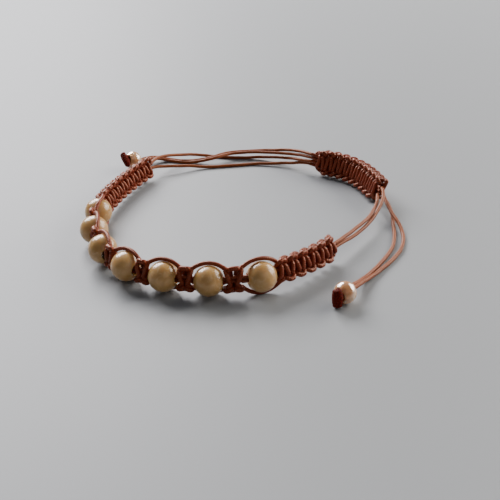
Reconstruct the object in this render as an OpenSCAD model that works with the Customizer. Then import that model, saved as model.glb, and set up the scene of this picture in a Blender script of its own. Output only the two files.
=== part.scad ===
// Knotted bead bracelet with a sliding closure, opened nearly to its full size.
// It stands on its edge on a table: +Z is up and the beads face -Y.

/* [Beads] */
// Diameter of each of the seven round beads
bead_d = 6; // [5.4:0.1:6.4]
// Diameter of the hole drilled through every bead
bore_d = 2.1; // [2.1:0.1:2.6]
// Room left between a bead and the knots on both sides of it
bead_room = 0.15; // [0.1:0.05:0.4]
// Diameter of the two small beads on the cord ends
end_bead_d = 4.4; // [4:0.1:5]

/* [Cord] */
// Diameter of the waxed cord
cord_d = 0.8; // [0.6:0.05:0.9]
// Distance between two core strands that run side by side
strand_pitch = 0.95; // [0.95:0.05:1.1]

/* [Knotted band] */
// Height of the flat knotted band, which stands on its edge
band_h = 5.1; // [4.6:0.1:5.4]
// Height of the single knots between two beads
knot_h = 5.7; // [5:0.1:6]
// Thickness of the flat knotted band
band_t = 2.5; // [2.2:0.1:3]
// Half knots in the stretch to the left of the beads
left_knots = 18; // [12:2:22]
// Length of one half knot in that stretch
left_step = 1.43; // [1.3:0.02:1.6]
// Half knots in the stretch to the right of the beads
right_knots = 12; // [8:2:16]
// Length of one half knot in that stretch
right_step = 1.45; // [1.3:0.02:1.6]

/* [Sliding knot] */
// Height of the sliding knot tied round all four strands
slider_h = 6.4; // [5.8:0.1:6.8]
// Thickness of the sliding knot
slider_t = 2.9; // [2.6:0.1:3.2]
// Half knots in the sliding knot
slider_knots = 20; // [14:2:24]
// Length of one half knot in the sliding knot
slider_step = 1.25; // [1.2:0.05:1.4]

/* [Knots on the ends] */
// Length of the stopper knot behind each end bead
stopper_l = 4.3; // [3.6:0.1:4.4]
// Width of the stopper knot across the cord
stopper_w = 2.2; // [2:0.1:2.6]
// Thickness of the stopper knot along the cord
stopper_t = 1.7; // [1.5:0.1:2]

/* [Hidden] */

bead_colour = "#cdb48c";
end_bead_colour = "#e2cdb4";
cord_colour = "#9a4a30";
knot_colour = "#7d3522";

exact_fn = 64;          // true round surfaces
cord_sides = 8;         // sides of a swept cord
weave_sides = 14;       // points round a woven band
rings_per_knot = 4;     // rings along one half knot
small_gap = 0.05;       // between pieces that lie against each other

// Where the band starts, at the free end of its left stretch: x, y and heading in degrees
band_start = [-22.5, 23.7, -116];
// Height of the band's middle at its left and right free ends, and to the right of the beads
left_end_z = 2.9;
right_end_z = 3.4;
right_start_z = 4.0;

// One row for each bead, from the left: how much further the knot before it is than the
// one after it, height of the band's middle there, length of the knot that follows it, and
// turn of the band in degrees from its middle to the next bead, or to the end of its loops
SLACK = 0;
HEIGHT = 1;
KNOT = 2;
TURN = 3;
bead_rows = [
    [0,   3.65, 2.6, 22],
    [0,   3.65, 3.0, 12],
    [0,   3.65, 2.8, 25],
    [0,   3.65, 2.5, 21],
    [0,   3.65, 2.6, 14],
    [0,   3.65, 3.1, 20],
    [0.7, 4.0,  0,   20]];
left_turn = 18;         // turn of the stretch to the left of the beads
right_turn = 18;        // turn of the stretch to the right of them
bead_drop = 0.15;       // how far the beads hang below the band's middle

bead_half = bead_d / 2 + bead_room;
left_l = left_knots * left_step;
right_l = right_knots * right_step;
beads = len(bead_rows);
last_bead = beads - 1;

// The band's middle line as arcs: length, turn, height at the arc's end
band_rows = concat(
    [[left_l + bead_half, left_turn, bead_rows[0][HEIGHT]]],
    [for (i = [0 : last_bead - 1])
        [2 * bead_half + bead_rows[i][KNOT] + bead_rows[i + 1][SLACK],
         bead_rows[i][TURN], bead_rows[i + 1][HEIGHT]]],
    [[bead_half, bead_rows[last_bead][TURN], right_start_z],
     [right_l, right_turn, right_end_z]]);

// The sliding knot's middle line, from its right end to its left one
slider_start = [32.7, 7.2, 101];
slider_z = slider_h / 2;
slider_l = slider_knots * slider_step;
slider_rows = [
    [slider_l * 0.35, 10, slider_z],
    [slider_l * 0.35, 28, slider_z],
    [slider_l * 0.3, 38, slider_z]];

function total(rows, i = 0) = i == len(rows) ? 0 : rows[i][0] + total(rows, i + 1);

// Point and heading after going a length along an arc that turns by some degrees
function arc_on(p, l, turn) =
    abs(turn) < 0.001
    ? [p.x + l * cos(p.z), p.y + l * sin(p.z), p.z]
    : let (r = l / turn * 180 / PI)
      [p.x + r * (sin(p.z + turn) - sin(p.z)), p.y - r * (cos(p.z + turn) - cos(p.z)), p.z + turn];

// Point and heading at the distance s along a row of arcs
function along(rows, start, s, i = 0) =
    i == len(rows) - 1 || s <= rows[i][0]
    ? arc_on(start, s, rows[i][1] * s / rows[i][0])
    : along(rows, arc_on(start, rows[i][0], rows[i][1]), s - rows[i][0], i + 1);

// Height at the distance s, easing from one row's height to the next
function height(rows, z0, s, i = 0) =
    i == len(rows) - 1 || s <= rows[i][0]
    ? z0 + (rows[i][2] - z0) * (1 - cos(180 * s / rows[i][0])) / 2
    : height(rows, rows[i][2], s - rows[i][0], i + 1);

// A place beside a middle line: w up from it and n out from the loop
function place(rows, start, z0, s, w, n) =
    let (p = along(rows, start, s))
    [p.x + n * sin(p.z), p.y - n * cos(p.z), height(rows, z0, s) + w];

function on_band(s, w = 0, n = 0) = place(band_rows, band_start, left_end_z, s, w, n);
function on_slider(s, w = 0, n = 0) = place(slider_rows, slider_start, slider_z, s, w, n);
function band_heading(s) = along(band_rows, band_start, s).z;

// Distance along the band to the middle of bead i, counted from 0
function bead_s(i) = total([for (k = [0 : i]) band_rows[k]]);
band_l = total(band_rows);

// Closed skin over rings that all have the same number of points
module skin(rings) {
    m = len(rings[0]);
    last = len(rings) - 1;
    polyhedron(
        points = [for (ring = rings) each ring],
        faces = concat(
            [[for (j = [0 : m - 1]) j]],
            [for (i = [0 : last - 1], j = [0 : m - 1])
                [i * m + j, (i + 1) * m + j, (i + 1) * m + (j + 1) % m, i * m + (j + 1) % m]],
            [[for (j = [m - 1 : -1 : 0]) last * m + j]]));
}

function unit(v) = v / norm(v);

// Round cord along a path, one ring at each point, squared to a reference direction
module cord(path, reference = [0, 0, 1], d = cord_d) {
    last = len(path) - 1;
    skin([for (i = [0 : last])
        let (t = unit(path[min(i + 1, last)] - path[max(i - 1, 0)]),
             side = unit(cross(t, reference)),
             up = cross(side, t))
        [for (j = [0 : cord_sides - 1])
            let (a = -360 * j / cord_sides)
            path[i] + d / 2 * (cos(a) * side + sin(a) * up)]]);
}

// How far the woven surface stands from a band's middle line, as [w, n], at the angle a.
// u counts half knots: the bars across each face lean one way and then the other,
// and a loop stands out once in two half knots, on one edge and then on the other.
edge_relief = 0.22;
bar_relief = 0.16;
bar_lean = 0.22;
function weave(u, a, h, t) =
    let (c = cos(a),
         d = sin(a),
         w = sign(c) * pow(abs(c), 0.75),
         n = sign(d) * pow(abs(d), 0.75),
         lean = (floor(u) % 2 == 0 ? 1 : -1) * sign(d),
         bar = cos(360 * (u - 0.5 - bar_lean * w * lean)))
    [w * (h / 2 - edge_relief + edge_relief * sign(c) * cos(180 * u)),
     n * (t / 2 - bar_relief + bar_relief * bar)];

// Ends of a band draw in over its first and last quarter of a half knot
function draw_in(i, last) = i == 0 || i == last ? 0.82 : 1;

// Rings of a woven band of some half knots, each step long, from the distance s0
function weave_rings(knots, h, t) =
    let (last = knots * rings_per_knot)
    [for (i = [0 : last])
        [for (j = [0 : weave_sides - 1])
            let (p = weave(i / rings_per_knot, 360 * (j + 0.5) / weave_sides, h, t))
            [i / rings_per_knot, draw_in(i, last) * p.x, draw_in(i, last) * p.y]]];

module band(s0, knots, step, h = band_h) {
    skin([for (ring = weave_rings(knots, h, band_t))
        [for (p = ring) on_band(s0 + p.x * step, p.y, p.z)]]);
}

// Turns and moves a piece made along X to the distance s along the band
module at_band(s) {
    translate(on_band(s)) rotate([0, 0, band_heading(s)]) children();
}

// Ball with a straight hole along X: what is left of half a disc outside the hole, turned
module drilled_ball(d) {
    rotate([0, 90, 0])
    rotate_extrude($fn = exact_fn)
    intersection() {
        circle(d = d, $fn = exact_fn);
        translate([bore_d / 2, -d]) square([d, 2 * d]);
    }
}

module bead(i) {
    color(bead_colour) translate([0, 0, -bead_drop]) at_band(bead_s(i)) drilled_ball(bead_d);
}

// Two straight strands through each bead, from one knot to the next
module core_cords() {
    color(cord_colour)
    for (i = [0 : last_bead], side = [-1, 1])
        let (after = bead_half - 2 * small_gap, before = after + bead_rows[i][SLACK])
        at_band(bead_s(i))
            translate([-before, 0, side * strand_pitch / 2])
                rotate([0, 90, 0])
                    cylinder(d = cord_d, h = before + after, $fn = 24);
}

// The knotting cord passes over and under each bead as two arcs, which start against the
// knots on both sides. The lower one lies on the table, so it is pushed inwards as far as
// the bead's height makes it go.
loop_rings = 10;
loop_lean = 1.0;        // how far the upper arc stands inwards
function loop_path(i, side) =
    let (r = bead_d / 2 + cord_d / 2 + small_gap,
         after = bead_half - cord_d / 2 - small_gap,
         before = after + bead_rows[i][SLACK],
         start = sqrt(r * r - after * after),
         drop = min(r, bead_rows[i][HEIGHT] - bead_drop - cord_d / 2),
         top = side > 0 ? sqrt(r * r - loop_lean * loop_lean) : drop,
         inwards = side > 0 ? loop_lean : sqrt(r * r - drop * drop))
    [for (k = [0 : loop_rings])
        let (a = 180 * k / loop_rings,
             reach = a < 90 ? before : after)
        on_band(bead_s(i) - reach * cos(a),
                side * (start + (top - start) * sin(a)) - bead_drop,
                -inwards * sin(a))];

module bead_loops(i) {
    h = band_heading(bead_s(i));
    color(cord_colour)
    for (side = [-1, 1])
        cord(loop_path(i, side), reference = [sin(h), -cos(h), 0]);
}

// Square knot between two beads: two half knots
module knot(i) {
    color(knot_colour)
        band(bead_s(i) + bead_half, 2, bead_rows[i][KNOT] / 2, knot_h);
}

module sennit_left() {
    color(knot_colour) band(0, left_knots, left_step);
}

module sennit_right() {
    color(knot_colour) band(band_l - right_l, right_knots, right_step);
}

// The sliding knot draws in and up over its last stretch on the left: how much of its
// size is left at the distance s, and how far its middle has risen
tip_l = 3;
tip_draw = 0.36;
tip_rise = 0.6;
function tip(s) = pow(max(0, (s - slider_l + tip_l) / tip_l), 2);

module sliding_knot() {
    color(knot_colour)
    skin([for (ring = weave_rings(slider_knots, slider_h, slider_t))
        [for (p = ring)
            let (s = p.x * slider_step,
                 size = 1 - tip_draw * tip(s))
            on_slider(s, p.y * size + tip_rise * tip(s), p.z * size)]]);
}

// Strands held at both ends, from the band to the sliding knot
left_span_upper_route = [
    [-22.4, 23.9, 3.4], [-21.8, 25.8, 3.6], [-21.0, 27.9, 3.5], [-19.9, 29.8, 3.2],
    [-18.4, 31.5, 2.8], [-16.9, 33.1, 2.3], [-15.2, 34.5, 1.8], [-13.3, 35.7, 1.4],
    [-11.3, 36.5, 1.0], [-9.1, 37.0, 0.6], [-6.9, 36.9, 0.4], [-4.7, 36.4, 0.4],
    [-2.4, 36.1, 0.4], [-0.2, 36.0, 0.4], [2.1, 36.0, 0.4], [4.3, 35.9, 0.6],
    [6.5, 35.4, 0.8], [8.5, 34.6, 1.1], [10.5, 33.4, 1.5], [12.2, 32.0, 1.9],
    [13.7, 30.4, 2.4], [15.1, 28.7, 2.8], [16.7, 27.2, 3.1], [18.2, 26.1, 3.4]];
left_span_lower_route = [
    [-22.4, 23.9, 2.4], [-21.0, 25.3, 2.2], [-19.0, 26.3, 1.9], [-16.9, 27.0, 1.7],
    [-14.9, 27.8, 1.4], [-12.8, 28.6, 1.1], [-10.7, 29.1, 0.7], [-8.5, 29.4, 0.5],
    [-6.3, 29.8, 0.4], [-4.1, 30.2, 0.4], [-1.9, 30.6, 0.4], [0.3, 31.0, 0.4],
    [2.5, 31.5, 0.4], [4.7, 31.6, 0.5], [7.0, 31.4, 0.6], [9.2, 31.1, 0.8],
    [11.3, 30.6, 1.1], [13.4, 29.8, 1.4], [15.3, 28.9, 1.9], [17.1, 27.6, 2.3],
    [18.2, 26.2, 2.5]];
right_span_outer_route = [
    [19.9, -19.5, 2.9], [21.2, -17.9, 2.9], [22.5, -16.1, 2.7], [23.8, -14.4, 2.5],
    [25.1, -12.6, 2.4], [26.3, -10.8, 2.4], [27.5, -8.9, 2.4], [28.6, -7.0, 2.5],
    [29.6, -5.1, 2.6], [30.6, -3.1, 2.9], [31.5, -1.2, 3.3], [32.3, 0.9, 3.7],
    [32.9, 2.9, 4.1], [33.1, 5.1, 4.5], [33.1, 7.1, 4.5]];
right_span_inner_route = [
    [19.9, -19.5, 3.8], [21.2, -17.8, 3.8], [22.5, -15.9, 3.7], [23.8, -14.0, 3.6],
    [25.0, -12.0, 3.5], [26.2, -10.1, 3.4], [27.4, -8.1, 3.3], [28.5, -6.1, 3.2],
    [29.4, -4.0, 3.2], [30.2, -1.8, 3.1], [30.9, 0.3, 3.0], [31.5, 2.6, 2.9],
    [31.9, 4.8, 2.9], [32.2, 6.9, 2.8]];

// Loose ends, from the sliding knot through a small bead to a stopper knot
left_tail_back_route = [
    [18.2, 26.2, 5.2], [17.1, 27.6, 5.0], [15.8, 29.4, 4.7], [14.3, 31.1, 4.3],
    [12.6, 32.5, 3.9], [10.8, 33.7, 3.5], [8.8, 34.7, 3.0], [6.7, 35.5, 2.7],
    [4.6, 36.3, 2.3], [2.4, 36.7, 2.0], [0.2, 36.9, 1.8], [-2.1, 36.6, 1.7],
    [-4.1, 35.7, 1.7], [-5.9, 34.3, 1.7], [-7.9, 33.4, 1.4], [-10.1, 33.3, 1.0],
    [-12.4, 33.5, 0.6], [-14.6, 33.8, 0.4], [-16.8, 34.3, 0.4], [-18.9, 34.8, 0.5],
    [-21.0, 34.7, 0.9], [-22.9, 34.1, 1.3], [-24.7, 33.0, 1.4], [-26.6, 31.4, 1.5],
    [-27.8, 30.1, 2.2], [-29.0, 28.8, 2.9]];
left_tail_front_route = [
    [18.2, 26.2, 4.3], [17.1, 27.5, 4.1], [15.7, 29.2, 3.8], [14.2, 30.7, 3.4],
    [12.4, 32.0, 3.1], [10.5, 33.1, 2.8], [8.5, 34.0, 2.6], [6.4, 34.7, 2.4],
    [4.3, 35.4, 2.2], [2.2, 35.8, 2.0], [0.0, 35.9, 1.8], [-2.2, 35.6, 1.7],
    [-4.1, 34.5, 1.7], [-5.8, 33.2, 1.7], [-7.9, 32.4, 1.4], [-10.0, 32.3, 1.0],
    [-12.2, 32.5, 0.6], [-14.4, 32.8, 0.4], [-16.5, 33.3, 0.4], [-18.5, 33.8, 0.5],
    [-20.5, 33.7, 0.9], [-22.3, 33.2, 1.3], [-24.0, 32.3, 1.4], [-26.0, 30.8, 1.5],
    [-27.2, 29.5, 2.2], [-28.3, 28.1, 2.9]];
right_tail_outer_route = [
    [33.2, 7.1, 3.3], [33.5, 5.1, 3.0], [33.7, 2.9, 2.7], [34.0, 0.7, 2.4],
    [34.4, -1.5, 2.0], [35.0, -3.6, 1.6], [35.6, -5.7, 1.0], [35.8, -7.9, 0.5],
    [35.7, -10.1, 0.4], [35.3, -12.3, 0.4], [34.7, -14.5, 0.4], [33.9, -16.6, 0.4],
    [32.8, -18.6, 0.4], [31.7, -20.5, 0.4], [30.4, -22.4, 0.4], [29.1, -24.2, 0.5],
    [27.9, -26.0, 0.6], [26.6, -27.8, 0.8], [25.4, -29.7, 1.2], [24.2, -31.6, 1.6],
    [23.2, -33.5, 2.1], [21.9, -35.2, 2.2], [20.8, -36.7, 2.2], [19.6, -38.2, 2.2]];
right_tail_inner_route = [
    [33.3, 7.0, 2.3], [34.2, 5.5, 1.7], [34.6, 3.4, 1.3], [34.8, 1.2, 0.9],
    [34.7, -0.9, 0.6], [34.5, -3.1, 0.4], [34.3, -5.3, 0.4], [34.1, -7.5, 0.4],
    [33.8, -9.7, 0.4], [33.4, -11.8, 0.4], [32.9, -13.9, 0.4], [32.1, -16.0, 0.4],
    [31.2, -18.0, 0.4], [30.2, -19.9, 0.4], [29.1, -21.8, 0.4], [28.0, -23.7, 0.4],
    [26.8, -25.6, 0.5], [25.7, -27.5, 0.7], [24.5, -29.3, 1.0], [23.5, -31.2, 1.5],
    [22.5, -33.0, 2.1], [21.2, -34.6, 2.2], [20.0, -36.1, 2.2], [18.9, -37.6, 2.2]];

module left_span_upper() { color(cord_colour) cord(left_span_upper_route); }
module left_span_lower() { color(cord_colour) cord(left_span_lower_route); }
module right_span_outer() { color(cord_colour) cord(right_span_outer_route); }
module right_span_inner() { color(cord_colour) cord(right_span_inner_route); }
module left_tail_back() { color(cord_colour) cord(left_tail_back_route); }
module left_tail_front() { color(cord_colour) cord(left_tail_front_route); }
module right_tail_outer() { color(cord_colour) cord(right_tail_outer_route); }
module right_tail_inner() { color(cord_colour) cord(right_tail_inner_route); }

// Small beads on the ends: middle of each, and heading and rise of its hole in degrees
end_left = [-27.5, 29.8, 2.2];
end_left_heading = 230;
end_left_rise = 20;
end_right = [20.4, -36.4, 2.2];
end_right_heading = 232;
end_right_rise = 0;

// Turns and moves a piece made along X to the hole of an end bead
module at_end(p, heading, rise) {
    translate(p) rotate([0, -rise, heading]) children();
}

// Stopper knot: an upright barrel with wraps round it, that leans by some degrees
stopper_sides = 12;
stopper_rings = 12;
wraps = 3;
wrap_relief = 0.12;
module stopper(lean) {
    reach = (sqrt(pow(end_bead_d, 2) - pow(bore_d, 2)) + stopper_t) / 2 + small_gap;
    translate([reach, 0, 0]) rotate([lean, 0, 0])
    skin([for (i = [0 : stopper_rings])
        let (a = 180 * (0.06 + 0.88 * i / stopper_rings),
             size = pow(sin(a), 0.6) - wrap_relief * (1 + cos(360 * wraps * a / 180)) / 2)
        [for (j = [0 : stopper_sides - 1])
            let (b = 360 * j / stopper_sides)
            [size * stopper_t / 2 * cos(b), size * stopper_w / 2 * sin(b), -cos(a) * stopper_l / 2]]]);
}

module end_bead_left() {
    color(end_bead_colour) at_end(end_left, end_left_heading, end_left_rise) drilled_ball(end_bead_d);
}
module end_bead_right() {
    color(end_bead_colour) at_end(end_right, end_right_heading, end_right_rise) drilled_ball(end_bead_d);
}
module end_knot_left() {
    color(knot_colour) at_end(end_left, end_left_heading, end_left_rise) stopper(55);
}
module end_knot_right() {
    color(knot_colour) at_end(end_right, end_right_heading, end_right_rise) stopper(6);
}

bead(0);  // bead_1
bead(1);  // bead_2
bead(2);  // bead_3
bead(3);  // bead_4
bead(4);  // bead_5
bead(5);  // bead_6
bead(6);  // bead_7
core_cords();
bead_loops(0);  // bead_loops_1
bead_loops(1);  // bead_loops_2
bead_loops(2);  // bead_loops_3
bead_loops(3);  // bead_loops_4
bead_loops(4);  // bead_loops_5
bead_loops(5);  // bead_loops_6
bead_loops(6);  // bead_loops_7
knot(0);  // knot_1
knot(1);  // knot_2
knot(2);  // knot_3
knot(3);  // knot_4
knot(4);  // knot_5
knot(5);  // knot_6
sennit_left();
sennit_right();
sliding_knot();
left_span_upper();
left_span_lower();
right_span_outer();
right_span_inner();
left_tail_back();
left_tail_front();
right_tail_outer();
right_tail_inner();
end_bead_left();
end_bead_right();
end_knot_left();
end_knot_right();
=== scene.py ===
import math
import bpy
import numpy as np
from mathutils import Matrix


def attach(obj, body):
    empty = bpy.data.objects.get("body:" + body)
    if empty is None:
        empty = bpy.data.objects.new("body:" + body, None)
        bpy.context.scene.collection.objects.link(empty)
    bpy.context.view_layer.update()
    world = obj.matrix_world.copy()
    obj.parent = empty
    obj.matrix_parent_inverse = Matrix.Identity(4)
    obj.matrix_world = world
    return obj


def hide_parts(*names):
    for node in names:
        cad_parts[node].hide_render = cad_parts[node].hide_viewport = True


# A macrame bracelet with a sliding closure, standing on its edge: the beads face -Y, +Z is up.
# Shapes are worked out in millimetres, and a mesh gets them in metres.
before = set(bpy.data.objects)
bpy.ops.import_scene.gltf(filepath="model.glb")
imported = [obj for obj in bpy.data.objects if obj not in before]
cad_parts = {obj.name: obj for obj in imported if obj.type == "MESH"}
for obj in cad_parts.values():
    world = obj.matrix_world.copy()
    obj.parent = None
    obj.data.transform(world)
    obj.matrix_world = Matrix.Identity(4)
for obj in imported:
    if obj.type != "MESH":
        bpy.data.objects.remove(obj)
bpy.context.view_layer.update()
mm = 0.001
print("frame:", len(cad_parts), "nodes")


def linearColour(hexCode):
    # each channel c: c / 12.92 up to 0.04045, and ((c + 0.055) / 1.055) ^ 2.4 above
    c = np.array([int(hexCode[i:i + 2], 16) for i in (1, 3, 5)]) / 255
    return (*np.where(c <= 0.04045, c / 12.92, ((c + 0.055) / 1.055) ** 2.4).tolist(), 1.0)


def addNode(tree, kind, inputs=(), **settings):
    # One shader node. Its inputs are (socket, value) or (socket, another node's output).
    node = tree.nodes.new(kind)
    for name, value in settings.items():
        setattr(node, name, value)
    for socket, value in inputs:
        if isinstance(value, bpy.types.NodeSocket):
            tree.links.new(value, node.inputs[socket])
        else:
            node.inputs[socket].default_value = value
    return node


def newMaterial(name):
    # An empty material, and the node tree to build it in
    material = bpy.data.materials.new(name)
    material.use_nodes = True
    material.node_tree.nodes.clear()
    return material, material.node_tree


# It looks at the beads from in front, and down at them a little.
camera = {
    "place": (2.557, -172.856, 83.802),
    "lookDown": 28.0,      # degrees below the horizon
    "lens": 60.94,
    "sensor": 36,
    "clip": (0.01, 20),    # the nearest and furthest that it sees, in metres
}


def addCamera():
    # A camera that isn't turned looks straight down, so a level one is turned up by 90 degrees.
    data = bpy.data.cameras.new("camera")
    data.lens = camera["lens"]
    data.sensor_width = camera["sensor"]
    data.clip_start, data.clip_end = camera["clip"]
    holder = bpy.data.objects.new("camera", data)
    holder.location = [v * mm for v in camera["place"]]
    holder.rotation_euler = (math.radians(90 - camera["lookDown"]), 0, 0)
    bpy.context.scene.collection.objects.link(holder)
    bpy.context.scene.camera = holder


# One big soft light behind on the left, a paler one behind on the right, a little from the front,
# and an even one from all round. Power is in watts.
softLights = {
    "backLeft": {"place": (-330, 560, 430), "size": (560, 420), "power": 14.0, "colour": "#fdfbff"},
    "backRight": {"place": (600, 300, 330), "size": (720, 480), "power": 9.0, "colour": "#fbf6f2"},
    "front": {"place": (260, -520, 420), "size": (500, 400), "power": 0.35, "colour": "#fff4ea"},
}
ambient = {
    "colour": "#aab4c2",
    "strength": 0.3,
}


def addSoftLight(name, place, size, power, colour):
    # A rectangle of light that faces the origin: tilted by the angle between the way to the origin
    # and straight down, then turned to where that way heads
    data = bpy.data.lights.new(name, "AREA")
    data.shape = "RECTANGLE"
    data.size, data.size_y = size[0] * mm, size[1] * mm
    data.energy = power
    data.color = linearColour(colour)[:3]
    holder = bpy.data.objects.new(name, data)
    holder.location = [v * mm for v in place]
    toward = -np.array(place, float)
    flat = math.hypot(toward[0], toward[1])
    holder.rotation_euler = (math.atan2(flat, -toward[2]), 0, math.atan2(-toward[0], toward[1]))
    bpy.context.scene.collection.objects.link(holder)


def addAmbient():
    # the same light from every direction
    world = bpy.data.worlds.new("ambient")
    world.use_nodes = True
    background = world.node_tree.nodes["Background"]
    background.inputs["Color"].default_value = linearColour(ambient["colour"])
    background.inputs["Strength"].default_value = ambient["strength"]
    bpy.context.scene.world = world


# The plain floor that the bracelet stands on
table = {
    "size": 9000,
    "colour": "#939595",
    "roughness": 0.55,
}


def tableMaterial():
    # Matt paint: even and pale, with only a faint and broad gleam
    material, tree = newMaterial("paleTable")
    shader = addNode(tree, "ShaderNodeBsdfPrincipled",
                     [("Base Color", linearColour(table["colour"])), ("Roughness", table["roughness"])])
    addNode(tree, "ShaderNodeOutputMaterial", [("Surface", shader.outputs[0])])
    return material


def addTable():
    # one square at height 0, with half its size to each side of the origin
    half = table["size"] / 2 * mm
    mesh = bpy.data.meshes.new("table")
    mesh.from_pydata([(-half, -half, 0), (half, -half, 0), (half, half, 0), (-half, half, 0)], [],
                     [(0, 1, 2, 3)])
    mesh.materials.append(tableMaterial())
    piece = bpy.data.objects.new("table", mesh)
    bpy.context.scene.collection.objects.link(piece)


addCamera()
for name, settings in softLights.items():
    addSoftLight(name, **settings)
addAmbient()
addTable()
print("camera, lights and floor made")

# The waxed cord, and how its braid shows
cordSizes = {
    "diameter": 0.8,
    "ribPitch": 0.36,      # one braid rib, drawn as coarse as it needs to show
    "ribRelief": 0.04,     # share of the radius
    "columns": 3,          # herringbone columns round the cord
    "zigzag": 0.75,        # how far each rib runs along the cord, in ribs
    "sides": 12,
    "ringsPerRib": 4,
    "cloudsPerMm": 0.42,   # lighter and darker wax
    "fibresPerMm": 9,      # real fibres are finer still, and wouldn't show
    "fibreDepth": 0.05,
}
ringStep = cordSizes["ribPitch"] / cordSizes["ringsPerRib"]

# The same cord in three copies: free strands lighter as painted light, knots packed tight darker as
# painted shade, and stopper knots darker still. Each has its ribs' colour at the ridge and in the
# valley, the valley's darker colour being painted shade, and how rough and shiny the wax is.
cordFinishes = {
    "waxedCord": {"ridge": "#9c522a", "valley": "#5e2810", "roughness": 0.42, "shine": 0.5},
    "shadedPackedCord": {"ridge": "#92341a", "valley": "#4c1208", "roughness": 0.38, "shine": 0.85},
    "darkStopperCord": {"ridge": "#6e1004", "valley": "#400601", "roughness": 0.6, "shine": 0.2},
}


def waxedCordMaterial(name, ridge, valley, roughness, shine):
    # Waxed polyester cord, braided: the wax gives ridges a satin gleam, and the valleys are painted
    # darker as shade.
    # The map's first axis goes once round the cord, and its second counts ribs. Tone and height
    # follow cos(2 pi (ribs + zigzag)), as the mesh does.
    material, tree = newMaterial(name)
    uv = addNode(tree, "ShaderNodeTexCoord")
    split = addNode(tree, "ShaderNodeSeparateXYZ", [(0, uv.outputs["UV"])])
    around = addNode(tree, "ShaderNodeMath",
                     [(0, split.outputs["X"]), (1, cordSizes["columns"] * 2.0)], operation="MULTIPLY")
    zigzag = addNode(tree, "ShaderNodeMath", [(0, around.outputs[0]), (1, 1.0)], operation="PINGPONG")
    slant = addNode(tree, "ShaderNodeMath",
                    [(0, zigzag.outputs[0]), (1, cordSizes["zigzag"]), (2, split.outputs["Y"])],
                    operation="MULTIPLY_ADD")
    turn = addNode(tree, "ShaderNodeMath", [(0, slant.outputs[0]), (1, 2 * math.pi)],
                   operation="MULTIPLY")
    wave = addNode(tree, "ShaderNodeMath", [(0, turn.outputs[0])], operation="COSINE")
    rib = addNode(tree, "ShaderNodeMapRange", [("Value", wave.outputs[0]), ("From Min", -1.0)])
    # clouds shift the tone by up to 0.3 of the way from valley to ridge
    cloud = addNode(tree, "ShaderNodeTexNoise",
                    [("Vector", uv.outputs["Object"]), ("Scale", cordSizes["cloudsPerMm"] / mm),
                     ("Detail", 3.0)])
    shade = addNode(tree, "ShaderNodeMath", [(0, cloud.outputs["Fac"]), (1, 0.6), (2, -0.3)],
                    operation="MULTIPLY_ADD")
    tone = addNode(tree, "ShaderNodeMath", [(0, rib.outputs[0]), (1, shade.outputs[0])],
                   operation="ADD", use_clamp=True)
    # the rib tone mixes the ridge colour with the valley's painted shade
    colour = addNode(tree, "ShaderNodeMix",
                     [("Factor", tone.outputs[0]), (6, linearColour(valley)), (7, linearColour(ridge))],
                     data_type="RGBA")
    # fibres add a quarter of a rib's height
    fibre = addNode(tree, "ShaderNodeTexNoise",
                    [("Vector", uv.outputs["Object"]), ("Scale", cordSizes["fibresPerMm"] / mm),
                     ("Detail", 2.0)])
    height = addNode(tree, "ShaderNodeMath", [(0, fibre.outputs["Fac"]), (1, 0.25), (2, rib.outputs[0])],
                     operation="MULTIPLY_ADD")
    bump = addNode(tree, "ShaderNodeBump",
                   [("Height", height.outputs[0]), ("Strength", 0.5),
                    ("Distance", cordSizes["fibreDepth"] * mm)])
    shader = addNode(tree, "ShaderNodeBsdfPrincipled",
                     [("Base Color", colour.outputs[2]), ("Roughness", roughness),
                      ("Normal", bump.outputs[0]), ("IOR", 1.46), ("Specular IOR Level", shine),
                      ("Specular Tint", linearColour("#ffc79c")), ("Sheen Weight", 0.08),
                      ("Sheen Roughness", 0.35), ("Sheen Tint", linearColour("#f3b98c"))])
    addNode(tree, "ShaderNodeOutputMaterial", [("Surface", shader.outputs[0])])
    return material


# The stone, and the colours and polish of the seven beads and of the clearer end beads
stone = {
    "cloudsPerMm": 0.26,
    "veinsPerMm": 0.62,
    "lightDepth": 1.6,     # how far red light goes in
}
stoneFinishes = {
    "polishedAgate": {"light": "#cca166", "dark": "#b88d50", "veins": "#dcc294",
                      "clearness": 0.0, "roughness": 0.28},
    "clearAgate": {"light": "#ebc192", "dark": "#c98f5a", "veins": "#f6e0c2",
                   "clearness": 0.3, "roughness": 0.1},
}


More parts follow.
